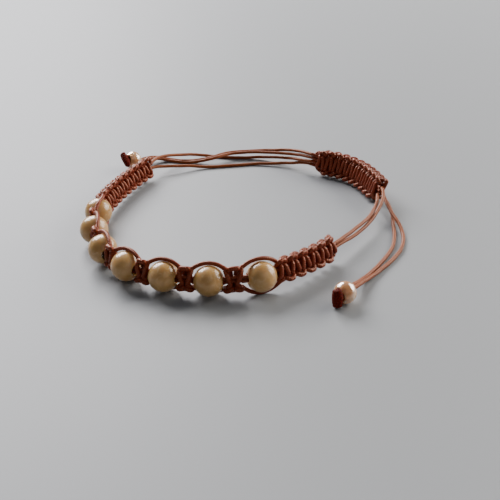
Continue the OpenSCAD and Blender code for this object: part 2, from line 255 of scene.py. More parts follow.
def polishedStoneMaterial(name, light, dark, veins, clearness, roughness):
    # Tumbled and polished agate: light goes a little way in, so clouds show under a glassy skin.
    material, tree = newMaterial(name)
    place = addNode(tree, "ShaderNodeTexCoord")
    cloud = addNode(tree, "ShaderNodeTexNoise",
                    [("Vector", place.outputs["Object"]), ("Scale", stone["cloudsPerMm"] / mm),
                     ("Detail", 4.0), ("Roughness", 0.55), ("Distortion", 0.6)])
    soft = addNode(tree, "ShaderNodeMapRange",
                   [("Value", cloud.outputs["Fac"]), ("From Min", 0.36), ("From Max", 0.66)],
                   interpolation_type="SMOOTHSTEP")
    body = addNode(tree, "ShaderNodeMix",
                   [("Factor", soft.outputs[0]), (6, linearColour(dark)), (7, linearColour(light))],
                   data_type="RGBA")
    # thin veins lie where the second noise is high
    vein = addNode(tree, "ShaderNodeTexNoise",
                   [("Vector", place.outputs["Object"]), ("Scale", stone["veinsPerMm"] / mm),
                    ("Detail", 5.0), ("Distortion", 1.4)])
    thin = addNode(tree, "ShaderNodeMapRange",
                   [("Value", vein.outputs["Fac"]), ("From Min", 0.56), ("From Max", 0.70),
                    ("To Max", 0.35)])
    colour = addNode(tree, "ShaderNodeMix",
                     [("Factor", thin.outputs[0]), (6, body.outputs[2]), (7, linearColour(veins))],
                     data_type="RGBA")
    shader = addNode(tree, "ShaderNodeBsdfPrincipled",
                     [("Base Color", colour.outputs[2]), ("Roughness", roughness), ("IOR", 1.54),
                      ("Subsurface Weight", 0.6), ("Subsurface Radius", (1.0, 0.7, 0.45)),
                      ("Subsurface Scale", stone["lightDepth"] * mm),
                      ("Transmission Weight", clearness), ("Coat Weight", 0.35),
                      ("Coat Roughness", 0.1)])
    addNode(tree, "ShaderNodeOutputMaterial", [("Surface", shader.outputs[0])])
    return material


# the strands get the lighter copy with painted light, the knotted band the darker copy with painted
# shade
litStrandFinish, shadedKnotFinish, stopperFinish = (waxedCordMaterial(name, **finish)
                                           for name, finish in cordFinishes.items())
beadFinish, endBeadFinish = (polishedStoneMaterial(name, **finish)
                             for name, finish in stoneFinishes.items())
print("materials made")


def camelName(nodeName):
    # left_span_upper becomes leftSpanUpper
    words = nodeName.title().replace("_", "")
    return words[0].lower() + words[1:]


def meshPiece(nodeName, shells, material):
    # One mesh in the place of a node of the CAD, made of shells: (points, quads, triangles, map of
    # each quad's corners, map of each triangle's corners)
    counts = np.cumsum([0] + [len(s[0]) for s in shells])[:-1]
    points = np.vstack([s[0] for s in shells]) * mm
    quads = np.vstack([s[1] + c for s, c in zip(shells, counts)])
    tris = np.vstack([s[2] + c for s, c in zip(shells, counts)])
    corners = np.concatenate([quads.ravel(), tris.ravel()]).astype(np.int32)
    uvs = np.vstack([s[3].reshape(-1, 2) for s in shells] + [s[4].reshape(-1, 2) for s in shells])
    sizes = np.concatenate([np.full(len(quads), 4), np.full(len(tris), 3)]).astype(np.int32)
    starts = np.concatenate([[0], np.cumsum(sizes)[:-1]]).astype(np.int32)
    mesh = bpy.data.meshes.new(camelName(nodeName))
    mesh.vertices.add(len(points))
    mesh.vertices.foreach_set("co", points.ravel())
    mesh.loops.add(len(corners))
    mesh.loops.foreach_set("vertex_index", corners)
    mesh.polygons.add(len(sizes))
    mesh.polygons.foreach_set("loop_start", starts)
    mesh.polygons.foreach_set("use_smooth", np.ones(len(sizes), bool))
    mesh.uv_layers.new(name="braid").data.foreach_set("uv", uvs.astype(np.float32).ravel())
    mesh.update(calc_edges=True)
    mesh.validate()
    mesh.materials.append(material)
    piece = bpy.data.objects.new(camelName(nodeName), mesh)
    bpy.context.scene.collection.objects.link(piece)
    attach(piece, "root")
    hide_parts(nodeName)
    return piece


def unit(v):
    # each vector divided by its own length
    return v / np.linalg.norm(v, axis=-1, keepdims=True)


pointsPerSpan = 8          # of a smooth line, from one given point to the next


def splinePoints(e, t):
    # Catmull-Rom: span k blends the four points from e[k] on by cubics of f, the share of the span
    k = np.minimum(t.astype(int), len(e) - 4)
    f = (t - k)[:, None]
    a, b, c, d = e[k], e[k + 1], e[k + 2], e[k + 3]
    return 0.5 * (2 * b + (c - a) * f + (2 * a - 5 * b + 4 * c - d) * f ** 2
                  + (3 * b - a - 3 * c + d) * f ** 3)


def smoothLine(points):
    # The spline through the points, led on straight by one point at each end
    p = np.asarray(points, float)
    t = np.linspace(0, len(p) - 1, (len(p) - 1) * pointsPerSpan + 1)
    return splinePoints(np.vstack([2 * p[0] - p[1], p, 2 * p[-1] - p[-2]]), t)


def closedLine(points, count, period):
    # The spline through points that repeat after one period along the first axis
    p = np.asarray(points, float)
    ahead = np.array([period, 0, 0])
    t = np.arange(count) / count * len(p)
    return splinePoints(np.vstack([p[-1] - ahead, p, p[0] + ahead, p[1] + ahead]), t)


def lengthAlong(line):
    # the running sum of the distances from point to point
    return np.concatenate([[0], np.cumsum(np.linalg.norm(np.diff(line, axis=0), axis=1))])


def evenLine(line, step):
    # The same line with points one step apart: each coordinate is read off at equal lengths along.
    s = lengthAlong(line)
    at = np.linspace(0, s[-1], max(2, round(s[-1] / step) + 1))
    return np.stack([np.interp(at, s, line[:, i]) for i in range(3)], axis=1)


def cordLine(points):
    # a smooth line with a point at every ring of the braid
    return evenLine(smoothLine(points), ringStep)


def steadySides(line):
    # Two side vectors at each point that never twist: any two first, and then the running sum
    # of the small turns between one pair and the next is taken away.
    t = unit(np.gradient(line, axis=0))
    a = unit(np.cross(t, np.eye(3)[np.abs(t).argmin(axis=1)]))
    b = np.cross(t, a)
    t0, t1 = t[:-1], t[1:]
    carried = a[:-1] - ((a[:-1] * t1).sum(1) / (1 + (t0 * t1).sum(1)))[:, None] * (t0 + t1)
    turn = np.arctan2((carried * b[1:]).sum(1), (carried * a[1:]).sum(1))
    angle = np.concatenate([[0], np.cumsum(turn)])[:, None]
    return np.cos(angle) * a + np.sin(angle) * b, np.cos(angle) * b - np.sin(angle) * a


def braidedTube(line, radius, along=None, sides=cordSizes["sides"]):
    # At u round and v along: line(v) + radius * (1 + relief * cos(2 pi (v / pitch + zigzag(u))))
    # times the side vectors turned by u, where zigzag goes up and down once in each column.
    # The radius is one number, or one for each point of the line. A fan of triangles closes each end.
    v = (lengthAlong(line) if along is None else along) / cordSizes["ribPitch"]
    u = np.arange(sides + 1) / sides
    zigzag = cordSizes["zigzag"] * np.abs((u[:-1] * cordSizes["columns"] * 2 + 1) % 2 - 1)
    rib = np.cos(2 * np.pi * (v[:, None] + zigzag))
    r = np.reshape(radius, (-1, 1)) * (1 + cordSizes["ribRelief"] * rib)
    first, second = steadySides(line)
    angle = 2 * np.pi * u[:-1]
    ring = first[:, None] * np.cos(angle)[:, None] + second[:, None] * np.sin(angle)[:, None]
    n = len(line)
    points = np.vstack([(line[:, None] + r[..., None] * ring).reshape(-1, 3), line[:1], line[-1:]])
    i = np.arange(n - 1)[:, None]
    j = np.arange(sides)[None]
    k = (j + 1) % sides
    quads = np.stack(np.broadcast_arrays(i * sides + j, i * sides + k,
                                         (i + 1) * sides + k, (i + 1) * sides + j), -1)
    corner = np.stack(np.broadcast_arrays(u[j], u[j + 1], u[j + 1], u[j]), -1) + 0 * i[..., None]
    height = np.stack(np.broadcast_arrays(v[i], v[i], v[i + 1], v[i + 1]), -1) + 0 * j[..., None]
    j, k = j[0], k[0]
    last = (n - 1) * sides
    tris = np.vstack([np.stack([k, j, np.full(sides, n * sides)], 1),
                      np.stack([last + j, last + k, np.full(sides, n * sides + 1)], 1)])
    ends = np.vstack([np.stack([u[k], 0 * u[k] + v[0]], 1)] * 3
                     + [np.stack([u[k], 0 * u[k] + v[-1]], 1)] * 3)
    return points, quads.reshape(-1, 4), tris, np.stack([corner, height], -1).reshape(-1, 4, 2), ends


# Strands that lie between the band and the sliding knot, and the loose ends past it
routes = {
    "left_span_upper": [
        (-22.4, 23.9, 3.4), (-21.8, 25.8, 3.6), (-21.0, 27.9, 3.5), (-19.9, 29.8, 3.2),
        (-18.4, 31.5, 2.8), (-16.9, 33.1, 2.3), (-15.2, 34.5, 1.8), (-13.3, 35.7, 1.4),
        (-11.3, 36.5, 1.0), (-9.1, 37.0, 0.6), (-6.9, 36.9, 0.4), (-4.7, 36.4, 0.4),
        (-2.4, 36.1, 0.4), (-0.2, 36.0, 0.4), (2.1, 36.0, 0.4), (4.3, 35.9, 0.6),
        (6.5, 35.4, 0.8), (8.5, 34.6, 1.1), (10.5, 33.4, 1.5), (12.2, 32.0, 1.9),
        (13.7, 30.4, 2.4), (15.1, 28.7, 2.8), (16.7, 27.2, 3.1), (18.2, 26.1, 3.4)],
    "left_span_lower": [
        (-22.4, 23.9, 2.4), (-21.0, 25.3, 2.2), (-19.0, 26.3, 1.9), (-16.9, 27.0, 1.7),
        (-14.9, 27.8, 1.4), (-12.8, 28.6, 1.1), (-10.7, 29.1, 0.7), (-8.5, 29.4, 0.5),
        (-6.3, 29.8, 0.4), (-4.1, 30.2, 0.4), (-1.9, 30.6, 0.4), (0.3, 31.0, 0.4),
        (2.5, 31.5, 0.4), (4.7, 31.6, 0.5), (7.0, 31.4, 0.6), (9.2, 31.1, 0.8),
        (11.3, 30.6, 1.1), (13.4, 29.8, 1.4), (15.3, 28.9, 1.9), (17.1, 27.6, 2.3),
        (18.2, 26.2, 2.5)],
    "right_span_outer": [
        (19.9, -19.5, 2.9), (21.2, -17.9, 2.9), (22.5, -16.1, 2.7), (23.8, -14.4, 2.5),
        (25.1, -12.6, 2.4), (26.3, -10.8, 2.4), (27.5, -8.9, 2.4), (28.6, -7.0, 2.5),
        (29.6, -5.1, 2.6), (30.6, -3.1, 2.9), (31.5, -1.2, 3.3), (32.3, 0.9, 3.7),
        (32.9, 2.9, 4.1), (33.1, 5.1, 4.5), (33.1, 7.1, 4.5)],
    "right_span_inner": [
        (19.9, -19.5, 3.8), (21.2, -17.8, 3.8), (22.5, -15.9, 3.7), (23.8, -14.0, 3.6),
        (25.0, -12.0, 3.5), (26.2, -10.1, 3.4), (27.4, -8.1, 3.3), (28.5, -6.1, 3.2),
        (29.4, -4.0, 3.2), (30.2, -1.8, 3.1), (30.9, 0.3, 3.0), (31.5, 2.6, 2.9),
        (31.9, 4.8, 2.9), (32.2, 6.9, 2.8)],
    "left_tail_back": [
        (18.2, 26.2, 5.2), (17.1, 27.6, 5.0), (15.8, 29.4, 4.7), (14.3, 31.1, 4.3),
        (12.6, 32.5, 3.9), (10.8, 33.7, 3.5), (8.8, 34.7, 3.0), (6.7, 35.5, 2.7),
        (4.6, 36.3, 2.3), (2.4, 36.7, 2.0), (0.2, 36.9, 1.8), (-2.1, 36.6, 1.7),
        (-4.1, 35.7, 1.7), (-5.9, 34.3, 1.7), (-7.9, 33.4, 1.4), (-10.1, 33.3, 1.0),
        (-12.4, 33.5, 0.6), (-14.6, 33.8, 0.4), (-16.8, 34.3, 0.4), (-18.9, 34.8, 0.5),
        (-21.0, 34.7, 0.9), (-22.9, 34.1, 1.3), (-24.7, 33.0, 1.4), (-26.6, 31.4, 1.5),
        (-27.8, 30.1, 2.2), (-29.0, 28.8, 2.9)],
    "left_tail_front": [
        (18.2, 26.2, 4.3), (17.1, 27.5, 4.1), (15.7, 29.2, 3.8), (14.2, 30.7, 3.4),
        (12.4, 32.0, 3.1), (10.5, 33.1, 2.8), (8.5, 34.0, 2.6), (6.4, 34.7, 2.4),
        (4.3, 35.4, 2.2), (2.2, 35.8, 2.0), (0.0, 35.9, 1.8), (-2.2, 35.6, 1.7),
        (-4.1, 34.5, 1.7), (-5.8, 33.2, 1.7), (-7.9, 32.4, 1.4), (-10.0, 32.3, 1.0),
        (-12.2, 32.5, 0.6), (-14.4, 32.8, 0.4), (-16.5, 33.3, 0.4), (-18.5, 33.8, 0.5),
        (-20.5, 33.7, 0.9), (-22.3, 33.2, 1.3), (-24.0, 32.3, 1.4), (-26.0, 30.8, 1.5),
        (-27.2, 29.5, 2.2), (-28.3, 28.1, 2.9)],
    "right_tail_outer": [
        (33.2, 7.1, 3.3), (33.5, 5.1, 3.0), (33.7, 2.9, 2.7), (34.0, 0.7, 2.4),
        (34.4, -1.5, 2.0), (35.0, -3.6, 1.6), (35.6, -5.7, 1.0), (35.8, -7.9, 0.5),
        (35.7, -10.1, 0.4), (35.3, -12.3, 0.4), (34.7, -14.5, 0.4), (33.9, -16.6, 0.4),
        (32.8, -18.6, 0.4), (31.7, -20.5, 0.4), (30.4, -22.4, 0.4), (29.1, -24.2, 0.5),
        (27.9, -26.0, 0.6), (26.6, -27.8, 0.8), (25.4, -29.7, 1.2), (24.2, -31.6, 1.6),
        (23.2, -33.5, 2.1), (21.9, -35.2, 2.2), (20.8, -36.7, 2.2), (19.6, -38.2, 2.2)],
    "right_tail_inner": [
        (33.3, 7.0, 2.3), (34.2, 5.5, 1.7), (34.6, 3.4, 1.3), (34.8, 1.2, 0.9),
        (34.7, -0.9, 0.6), (34.5, -3.1, 0.4), (34.3, -5.3, 0.4), (34.1, -7.5, 0.4),
        (33.8, -9.7, 0.4), (33.4, -11.8, 0.4), (32.9, -13.9, 0.4), (32.1, -16.0, 0.4),
        (31.2, -18.0, 0.4), (30.2, -19.9, 0.4), (29.1, -21.8, 0.4), (28.0, -23.7, 0.4),
        (26.8, -25.6, 0.5), (25.7, -27.5, 0.7), (24.5, -29.3, 1.0), (23.5, -31.2, 1.5),
        (22.5, -33.0, 2.1), (21.2, -34.6, 2.2), (20.0, -36.1, 2.2), (18.9, -37.6, 2.2)],
}

strandLines = {}
for name, route in routes.items():
    line = cordLine(route)
    strandLines[name] = line
    meshPiece(name, [braidedTube(line, cordSizes["diameter"] / 2)], litStrandFinish)

bead = {
    "diameter": 6.0,
    "bore": 2.1,           # of the end beads too
    "rim": 0.14,           # rounding of the hole's edge
    "room": 0.15,          # between a bead and the knots beside it
    "drop": 0.15,          # how far the beads hang below the band's middle
    "around": 72,          # points round the hole
}


def holeAxes(heading, rise):
    # Unit vectors along a hole, to its left and up: (cos h cos t, sin h cos t, sin t) for a heading h
    # and a rise t in degrees, (-sin h, cos h, 0), and the cross product of the two
    h, t = math.radians(heading), math.radians(rise)
    along = np.array([math.cos(h) * math.cos(t), math.sin(h) * math.cos(t), math.sin(t)])
    left = np.array([-math.sin(h), math.cos(h), 0])
    return np.stack([along, left, np.cross(along, left)])


def drilledStone(diameter, middle, heading, rise, around):
    # Profile r(a) = R sin a, x(a) = -R cos a from one rim to the other, then round the rims and
    # back through the hole; turned about the hole.
    radius, bore, rim = diameter / 2, bead["bore"] / 2, bead["rim"]
    a0 = math.asin((bore + rim) / radius)
    a = np.linspace(a0, math.pi - a0, around // 2 + 1)
    outside = np.stack([-radius * np.cos(a), radius * np.sin(a)], 1)
    face = radius * math.cos(a0) - rim
    b = np.linspace(0, math.pi / 2, 5)[1:]
    corner = np.stack([face + rim * np.cos(b), bore + rim - rim * np.sin(b)], 1)
    straight = np.stack([np.linspace(face, -face, 7)[1:-1], np.full(5, bore)], 1)
    profile = np.vstack([outside, corner, straight, corner[::-1] * (-1, 1)])
    turn = 2 * np.pi * np.arange(around) / around
    x = profile[:, :1] + 0 * turn
    y, z = profile[:, 1:] * np.cos(turn), profile[:, 1:] * np.sin(turn)
    local = np.stack([x, y, z], -1).reshape(-1, 3)
    points = np.asarray(middle) + local @ holeAxes(heading, rise)
    n = len(profile)
    i, j = np.meshgrid(np.arange(n), np.arange(around), indexing="ij")
    ii, jj = (i + 1) % n, (j + 1) % around
    quads = np.stack([i * around + j, ii * around + j, ii * around + jj, i * around + jj], -1)
    uv = np.stack([np.stack([i, ii, ii, i], -1) / n, np.stack([j, j, j + 1, j + 1], -1) / around], -1)
    return (points, quads.reshape(-1, 4), np.zeros((0, 3), int), uv.reshape(-1, 4, 2),
            np.zeros((0, 3, 2)))


endBead = {
    "diameter": 4.4,
    "left": ((-27.5, 29.8, 2.2), 230.0, 20.0),     # middle, heading and rise of the hole, degrees
    "right": ((20.4, -36.4, 2.2), 232.0, 0.0),
    "around": 60,
}

stopper = {
    "length": 4.3,
    "leftWidth": 1.8,
    "rightWidth": 2.3,
    "thickness": 1.7,
    "cordRadius": 0.48,
    "leftLean": 50.0,
    "rightLean": 3.0,
    "closer": 0.1,         # how far it is pulled past the edge of the bead's hole
    "turnPitch": 1.1,      # in radii of the cord, so that tight turns sink into each other
    "points": 80,
    "shoulder": 0.11,      # where on a half sine wave its ends lie: 0 for pointed ends
    "roundness": 0.42,     # power of that wave: less for a blunter barrel
    # from inside the hole to the first turn: along from the barrel's middle, aside and up
    "leadIn": [(-1.7, 0.33, -0.47), (-1.2, 0.33, -0.47), (-0.7, 0.33, -0.47), (-0.2, 0.1, -0.86),
               (0.0, 0.0, -1.419)],
}


def stopperTurns(middle, heading, rise, lean, width):
    # The cord wound into a short barrel behind the end bead: height grows with the angle, and each
    # turn is an oval, which is largest halfway. Both ends come out of the bead's hole.
    r = stopper["cordRadius"]
    face = math.sqrt(endBead["diameter"] ** 2 - bead["bore"] ** 2)
    reach = (face + stopper["thickness"]) / 2 - stopper["closer"]
    turns = round((stopper["length"] - 2 * r) / (stopper["turnPitch"] * r))
    t = np.linspace(0, 1, stopper["points"])
    a = 2 * np.pi * (turns * t + 0.5)
    wave = np.sin(np.pi * (stopper["shoulder"] + (1 - 2 * stopper["shoulder"]) * t))
    swell = wave ** stopper["roundness"]
    x = reach + (stopper["thickness"] / 2 - r) * swell * np.cos(a)
    y = (width / 2 - r) * swell * np.sin(a)
    z = (stopper["length"] / 2 - r) * (2 * t - 1)
    leadIn = np.array(stopper["leadIn"]) + (reach, 0, 0)
    coil = np.vstack([leadIn, np.stack([x, y, z], 1), leadIn[::-1] * (1, 1, -1)])
    q = math.radians(lean)
    tip = np.array([[1, 0, 0], [0, math.cos(q), math.sin(q)], [0, -math.sin(q), math.cos(q)]])
    return np.asarray(middle) + coil @ tip @ holeAxes(heading, rise)


for side in ("left", "right"):
    middle, heading, rise = endBead[side]
    ball = drilledStone(endBead["diameter"], middle, heading, rise, endBead["around"])
    coil = stopperTurns(middle, heading, rise, stopper[side + "Lean"], stopper[side + "Width"])
    knot = braidedTube(cordLine(coil), stopper["cordRadius"])
    meshPiece(f"end_bead_{side}", [ball], endBeadFinish)
    meshPiece(f"end_knot_{side}", [knot], stopperFinish)
for name, line in strandLines.items():
    if "tail" not in name:
        continue
    side = "left" if name.startswith("left") else "right"

# The band's middle line: arcs from the free end of its left stretch, over the beads, to the right.
# A bead row holds slack before the bead, height of the middle, and the next knot's length, turn
# and openness: 1 for a knot that spreads, less for a tighter and smaller one.
band = {
    "start": (-22.5, 23.7, -116.0),
    "leftKnots": 9,
    "leftLength": 25.74,
    "rightKnots": 6,
    "rightLength": 17.4,
    "leftEndHeight": 2.9,
    "rightStartHeight": 4.0,
    "rightEndHeight": 3.4,
    "endTurn": 18.0,
    "leftLean": 23.0,      # degrees that the top edge leans outwards
    "rightLean": -19.0,
    "height": 5.1,
    "thickness": 2.5,
    "knotHeight": 6.0,     # a single knot between two beads
    "knotThickness": 3.0,
    "endMargin": 0.55,     # room that the first and last wrap take
    "beadRows": [
        (0.0, 3.65, 2.6, 22.0, 0.3),
        (0.0, 3.65, 3.0, 12.0, 0.35),
        (0.0, 3.65, 2.8, 25.0, 0.45),
        (0.0, 3.65, 2.5, 21.0, 0.7),
        (0.0, 3.65, 2.6, 14.0, 0.8),
        (0.0, 3.65, 3.1, 20.0, 1.0),
        (0.7, 4.0, 0.0, 20.0, 0.0),
    ],
}
beadHalf = bead["diameter"] / 2 + bead["room"]
beadCount = len(band["beadRows"])
beadGaps = [2 * beadHalf + row[2] + nextRow[0]
            for row, nextRow in zip(band["beadRows"], band["beadRows"][1:])]
bandRows = ([(band["leftLength"] + beadHalf, band["endTurn"])]
            + [(gap, row[3]) for gap, row in zip(beadGaps, band["beadRows"])]
            + [(beadHalf, band["beadRows"][-1][3]), (band["rightLength"], band["endTurn"])])
bandEnds = np.cumsum([0] + [row[0] for row in bandRows])
bandHeights = ([band["leftEndHeight"]] + [row[1] for row in band["beadRows"]]
               + [band["rightStartHeight"], band["rightEndHeight"]])


def alongArcs(rows, start, s):
    # A row is an arc's length and turn. On an arc of turn rate q from heading h0 the point is
    # start + (sin h - sin h0, cos h0 - cos h) / q, and h grows by q for each mm.
    lengths, turns = np.array(rows, float).T
    turns = np.radians(turns)
    heads = math.radians(start[2]) + np.concatenate([[0], np.cumsum(turns)])
    rate = turns / lengths
    jump = np.stack([np.sin(heads[1:]) - np.sin(heads[:-1]), np.cos(heads[:-1]) - np.cos(heads[1:])], 1)
    corners = np.array(start[:2]) + np.vstack([[0, 0], np.cumsum(jump / rate[:, None], axis=0)])
    ends = np.concatenate([[0], np.cumsum(lengths)])
    k = np.clip(np.searchsorted(ends, s, side="right") - 1, 0, len(lengths) - 1)
    h = heads[k] + rate[k] * (s - ends[k])
    x = corners[k, 0] + (np.sin(h) - np.sin(heads[k])) / rate[k]
    y = corners[k, 1] + (np.cos(heads[k]) - np.cos(h)) / rate[k]
    return x, y, h


def besideArcs(rows, start, s, up, out):
    # A place at s along the arcs, up above the floor and out from the loop:
    # (x + out sin h, y - out cos h, up)
    x, y, h = alongArcs(rows, start, s)
    return np.stack([x + out * np.sin(h), y - out * np.cos(h), up], axis=-1)


def onBand(s, w=0.0, n=0.0):
    # At s along the band, w above its middle line and n out from it. The middle line's height
    # eases from one arc's end to the next by a half cosine.
    s, w, n = np.broadcast_arrays(*[np.asarray(v, float) for v in (s, w, n)])
    k = np.clip(np.searchsorted(bandEnds, s, side="right") - 1, 0, len(bandRows) - 1)
    f = np.clip((s - bandEnds[k]) / np.diff(bandEnds)[k], 0, 1)
    z = np.array(bandHeights)
    middle = z[k] + (z[k + 1] - z[k]) * (1 - np.cos(np.pi * f)) / 2
    return besideArcs(bandRows, band["start"], s, middle + w, n)


def beadFrame(i):
    # middle of bead i, and unit vectors along the band, out of the loop and up
    s = bandEnds[1 + i]
    h = float(alongArcs(bandRows, band["start"], s)[2])
    middle = onBand(s, -bead["drop"])
    return middle, np.array([[math.cos(h), math.sin(h), 0], [math.sin(h), -math.cos(h), 0], [0, 0, 1]])


for i in range(beadCount):
    middle, axes = beadFrame(i)
    heading = math.degrees(math.atan2(axes[0, 1], axes[0, 0]))
    ball = drilledStone(bead["diameter"], middle, heading, 0, bead["around"])
    meshPiece(f"bead_{i + 1}", [ball], beadFinish)
print("beads made:", beadCount)

# Square knots. Waxed cord squashes a little where it is packed, so it is packed at a smaller
# radius than it is drawn with.
weave = {
    "cordRadius": 0.48,
    "packedRadius": 0.40,
    "coreRadius": 0.42,
    "corePitch": 0.83,
    "coreSides": 8,
    "corePoints": 60,
    "bandHalf": 0.85,      # half the height of what the knots of the band close on
    "sliderHalf": 1.6,     # the same for the sliding knot
    "pointsPerKnot": 44,
    "arch": 0.2,           # how much further out the humps arch
    "steps": 320,
    "pull": 0.25,          # how far a point is drawn to its neighbours' middle at first: it fades
    "lastPull": 0.02,      # to nothing, and this much is added at every step
    "pushes": 2,           # after each pull
    "endHump": 5,          # points of the last hump
    "trim": 4,             # points left out where a row of knots meets the arcs past a bead
}


def pullTight(strands, half, steps, firstPull, period=0.0, held=0):
    # Each step draws every point towards its neighbours' middle, then pushes strands that overlap
    # apart until they only touch, and keeps them off the straight strands inside. With a period
    # the strands repeat along the first axis, and otherwise they are held at both ends.
    r = weave["packedRadius"]
    inside = weave["coreRadius"]
    m = len(strands[0])
    x = np.vstack(strands)
    place = np.tile(np.arange(m), 2)
    base = np.repeat([0, m], m)
    ahead = np.array([period, 0, 0])
    if period:
        following, before = base + (place + 1) % m, base + (place - 1) % m
        image = np.array([-1, 0, 1])
    else:
        following, before = base + np.minimum(place + 1, m - 1), base + np.maximum(place - 1, 0)
        image = np.array([0])
    wrapOn, wrapBack = (place == m - 1)[:, None] * ahead, (place == 0)[:, None] * ahead
    free = ((place >= held) & (place < m - held))[:, None]
    apart = np.abs(place[:, None, None] - place[None, :, None] - image * m)
    same = (base[:, None] == base[None])[..., None]
    # the straight strands inside fill the height as an odd number of circles
    cores = np.linspace(inside - half, half - inside, 2 * round(half / inside / 2) + 1)
    tiny = 1e-9            # keeps a distance of 0 out of the divisions
    for step in range(steps):
        pull = firstPull * (1 - step / steps) + weave["lastPull"]
        x = x + free * pull * ((x[following] + wrapOn) + (x[before] - wrapBack) - 2 * x) / 2
        spacing = np.linalg.norm(x[following] + wrapOn - x, axis=1).mean()
        # points of one strand within about a diameter don't push each other
        near = same & (apart < math.ceil(2.2 * r / spacing))
        for again in range(weave["pushes"]):
            d = x[:, None, None] - (x[None, :, None] + image[:, None] * ahead)
            distance = np.linalg.norm(d, axis=3) + tiny
            overlap = np.where(near, 0, np.maximum(0, 2 * r - distance))
            push = (d / distance[..., None] * overlap[..., None] / 2).sum(axis=(1, 2))
            x = x + free * push / np.maximum(1, (overlap > 0).sum(axis=(1, 2)))[:, None] ** 0.5
            for w in cores:
                q = x[:, 1:] - (w, 0)
                distance = np.linalg.norm(q, axis=1, keepdims=True) + tiny
                x[:, 1:] += free * q / distance * np.maximum(0, r + inside - distance)
    return x[:m], x[m:]


def squareKnot(period, half):
    # One square knot of an endless row. One strand crosses behind twice, and humps over the other
    # in front at both edges. The other is the same turned half round: it humps over at the back.
    # The points are a rough start, which pulling tight evens out.
    r = weave["packedRadius"]
    p = period / 2
    edge = half + r
    front = closedLine([
        (0, -edge - 0.1, 3 * r), (p - 0.8 * r, -edge - 0.1, 2 * r), (p - r, -edge, 0),
        (0.5 * p, 0, -2 * r), (r, edge, 0), (0.8 * r, edge + 0.1, 2 * r), (p, edge + 0.1, 3 * r),
        (period - 0.8 * r, edge + 0.1, 2 * r), (period - r, edge, 0), (1.5 * p, 0, -2 * r),
        (p + r, -edge, 0), (p + 0.8 * r, -edge - 0.1, 2 * r)],
        weave["pointsPerKnot"], period)
    back, front = pullTight([front * (1, -1, -1), front], half, weave["steps"], weave["pull"], period)
    start = front[0, 0]
    # the humps arch a little further out, by a cosine of the way along
    knots = []
    for strand, outwards in ((back, 1), (front, -1)):
        wave = weave["arch"] * np.cos(2 * np.pi * strand[:, :1] / period)
        knots.append(strand - (start, 0, 0) + outwards * wave * (0, 1, 0))
    return knots


# The knot between two beads, from its left side to its middle: along, up and out. The upper arcs
# run down into a V in front. The lower ones pass behind it and close it with a cap on top.
beadKnotShape = {
    "length": 2.8,
    "half": 1.3,
    "steps": 40,
    "pull": 0.04,
    "lift": 0.1,
    "tightLower": 0.2,     # a fully tight knot loses this share of its height,
    "tightThinner": 0.15,  # this share of its depth,
    "tightClosing": 0.6,   # and this share of its V's width, at the height below and above it
    "closingHeight": 2.5,
    "upper": [(0.0, 2.2, -0.5), (0.1, 1.95, -0.1), (0.18, 1.55, 0.4), (0.3, 0.95, 0.8),
              (0.56, 0.1, 0.92), (0.8, -0.8, 0.9), (0.95, -1.5, 0.7), (1.0, -2.1, 0.35),
              (1.4, -2.5, 0.1)],
    "lower": [(0.0, -2.1, -0.35), (0.2, -2.15, 0.2), (0.55, -2.05, 0.95), (1.05, -1.9, 1.05),
              (1.22, -1.6, 0.2), (1.0, -1.3, -0.65), (0.95, -0.4, -0.82), (0.95, 0.6, -0.82),
              (0.92, 1.3, -0.7), (0.62, 1.95, -0.4), (0.36, 2.35, 0.2), (0.55, 2.6, 0.65),
              (0.95, 2.7, 0.75), (1.4, 2.7, 0.65)],
}


def beadKnot():
    # The one square knot between two beads: the lines through its points and through their mirror
    # image, pulled a little tighter
    strands = []
    for points in (beadKnotShape["upper"], beadKnotShape["lower"]):
        points = points + [(beadKnotShape["length"] - s, w, n) for s, w, n in points[-2::-1]]
        line = smoothLine(points)
        strands.append(evenLine(line, lengthAlong(line)[-1] / (weave["pointsPerKnot"] - 1)))
    return pullTight(strands, beadKnotShape["half"], beadKnotShape["steps"], beadKnotShape["pull"],
                     held=2)


def fitSize(strands, height, thickness):
    # Stretches or presses the knot until its edges and faces stand as far apart as asked for: half
    # that size less the cord's radius, over how far the farthest point is from the middle.
    r = weave["cordRadius"]
    widest, deepest = (max(np.abs(s[:, axis]).max() for s in strands) for axis in (1, 2))
    return [s * (1, (height / 2 - r) / widest, (thickness / 2 - r) / deepest) for s in strands]


def rowOfKnots(strand, period, count, start, length):
    # The knot repeated count times, stretched to fill the length, its last point included
    k = np.arange(count)[:, None, None] * np.array([period, 0, 0])
    row = (strand[None] + k).reshape(-1, 3)
    row = np.vstack([row, strand[0] + (count * period, 0, 0)])
    return row * (length / (count * period), 1, 1) + (start, 0, 0)


def leaned(row, degrees):
    # Turns a row of knots about its middle line, its top edge outwards: w cos q - n sin q above
    # the line and n cos q + w sin q out from it
    s, w, n = row.T
    q = math.radians(degrees)
    return np.stack([s, w * math.cos(q) - n * math.sin(q), n * math.cos(q) + w * math.sin(q)], axis=1)


